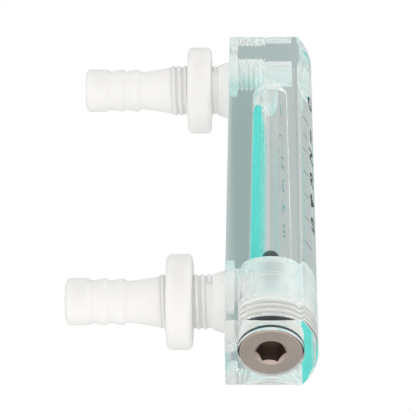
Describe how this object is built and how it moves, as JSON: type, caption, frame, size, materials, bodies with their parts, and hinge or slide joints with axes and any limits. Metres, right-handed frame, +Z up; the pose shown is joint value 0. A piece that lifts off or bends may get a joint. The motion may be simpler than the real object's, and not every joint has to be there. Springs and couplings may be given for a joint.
{
  "type": "oxygen flowmeter",
  "caption": "Clear acrylic block flowmeter for oxygen, with a ball float in a tapered tube, barbed hose fittings, panel nuts and a socket-head top plug.",
  "frame": {"origin": "on the block's flat back face, which lies against the panel, midway between the two ports", "axes": "+Z up along the metering tube towards the plug, +Y out of the back along the hose fittings, -Y towards the scale"},
  "size_m": [0.021, 0.055, 0.099],
  "materials": {
    "acrylic": "clear, polished",
    "plug_steel": "satin",
    "black_rubber": "matte",
    "white_nylon": "translucent, satin",
    "white_silicone": "satin",
    "float_black": "gloss"
  },
  "bodies": {
    "meter": {"meter_block": "acrylic", "top_plug": "plug_steel", "plug_o_ring": "black_rubber", "inlet_fitting": "white_nylon", "outlet_fitting": "white_nylon", "inlet_gasket": "white_silicone", "outlet_gasket": "white_silicone"},
    "float": {"float_ball": "float_black"},
    "lower_nut": {"inlet_nut": "white_nylon"},
    "upper_nut": {"outlet_nut": "white_nylon"}
  },
  "joints": [
    {"name": "float_travel", "type": "slide", "parent": "meter", "child": "float", "axis": [0, 0, 1], "range_m": [-0.0567, 0]},
    {"name": "inlet_nut_travel", "type": "slide", "parent": "meter", "child": "lower_nut", "axis": [0, 1, 0], "range_m": [-0.0016, 0.009]},
    {"name": "outlet_nut_travel", "type": "slide", "parent": "meter", "child": "upper_nut", "axis": [0, 1, 0], "range_m": [-0.0044, 0.0062]}
  ]
}
